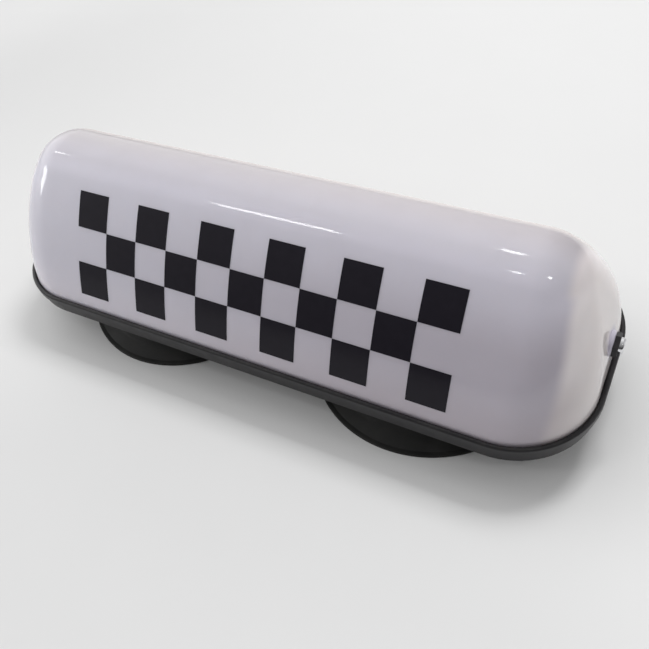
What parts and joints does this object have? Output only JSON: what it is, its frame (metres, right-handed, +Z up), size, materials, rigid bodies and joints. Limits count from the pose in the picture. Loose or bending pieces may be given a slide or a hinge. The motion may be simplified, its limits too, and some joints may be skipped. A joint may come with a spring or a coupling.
{
  "type": "taxi roof sign",
  "caption": "Illuminated roof sign: a long translucent domed cover held by end screws on a shallow black lamp tray with round magnetic feet.",
  "frame": {"origin": "on the floor under the middle of the sign, midway between the two feet", "axes": "+X along the sign's length, -Y out of its front face, +Z up"},
  "size_m": [0.3578, 0.132, 0.1052],
  "materials": {
    "cover_plastic": "glossy translucent white",
    "tray_plastic": "satin black",
    "rubber": "matte black",
    "boot_rubber": "matte black",
    "chrome": "bright",
    "zinc_steel": "zinc plated",
    "white_paint": "satin white",
    "block_plastic": "natural",
    "holder_plastic": "natural",
    "brass": "plain",
    "lamp_glass": "clear",
    "filament_wire": "drawn wire",
    "ferrite": "ground",
    "red_wire": "flexible",
    "black_wire": "flexible"
  },
  "bodies": {
    "base": {"tray": "tray_plastic", "rim_gasket": "rubber", "left_bracket": "zinc_steel", "right_bracket": "zinc_steel", "bracket_rivets": "zinc_steel", "reflector_plate": "white_paint", "plate_screws": "zinc_steel", "cable_grommet": "rubber", "terminal_block": "block_plastic", "terminal_screws": "brass", "live_leads": "red_wire", "earth_leads": "black_wire", "left_holder": "holder_plastic", "right_holder": "holder_plastic", "left_contacts": "brass", "right_contacts": "brass", "left_foot_boot": "boot_rubber", "right_foot_boot": "boot_rubber", "left_foot_pad": "boot_rubber", "right_foot_pad": "boot_rubber", "left_magnet": "ferrite", "right_magnet": "ferrite", "left_magnet_plate": "zinc_steel", "right_magnet_plate": "zinc_steel", "left_foot_bolt": "zinc_steel", "right_foot_bolt": "zinc_steel", "left_foot_washer": "zinc_steel", "right_foot_washer": "zinc_steel", "left_foot_nut": "zinc_steel", "right_foot_nut": "zinc_steel"},
    "cover": {"cover": "cover_plastic", "left_nut": "zinc_steel", "right_nut": "zinc_steel"},
    "left_washer": {"left_washer": "rubber"},
    "left_screw": {"left_screw": "chrome"},
    "left_bulb": {"left_bulb_glass": "lamp_glass", "left_bulb_base": "lamp_glass", "left_filament": "filament_wire"},
    "right_washer": {"right_washer": "rubber"},
    "right_screw": {"right_screw": "chrome"},
    "right_bulb": {"right_bulb_glass": "lamp_glass", "right_bulb_base": "lamp_glass", "right_filament": "filament_wire"}
  },
  "joints": [
    {"name": "cover_lift", "type": "slide", "parent": "base", "child": "cover", "axis": [0, 0, 1], "range_m": [0, 0.09]},
    {"name": "left_screw_travel", "type": "slide", "parent": "cover", "child": "left_washer", "axis": [-1, 0, 0], "range_m": [0, 0.0042]},
    {"name": "left_screw_turn", "type": "hinge", "parent": "left_washer", "child": "left_screw", "pos_m": [-0.174, 0, 0.0516], "axis": [-1, 0, 0], "range_deg": [0, 2160]},
    {"name": "left_bulb_pull", "type": "slide", "parent": "base", "child": "left_bulb", "axis": [0, 0, 1], "range_m": [0, 0.012]},
    {"name": "right_screw_travel", "type": "slide", "parent": "cover", "child": "right_washer", "axis": [1, 0, 0], "range_m": [0, 0.0042]},
    {"name": "right_screw_turn", "type": "hinge", "parent": "right_washer", "child": "right_screw", "pos_m": [0.174, 0, 0.0516], "axis": [1, 0, 0], "range_deg": [0, 2160]},
    {"name": "right_bulb_pull", "type": "slide", "parent": "base", "child": "right_bulb", "axis": [0, 0, 1], "range_m": [0, 0.012]}
  ],
  "couplings": [
    {"joint": "left_screw_turn", "follows": "left_screw_travel", "rad_per_m": 8975.9},
    {"joint": "right_screw_turn", "follows": "right_screw_travel", "rad_per_m": 8975.9}
  ]
}
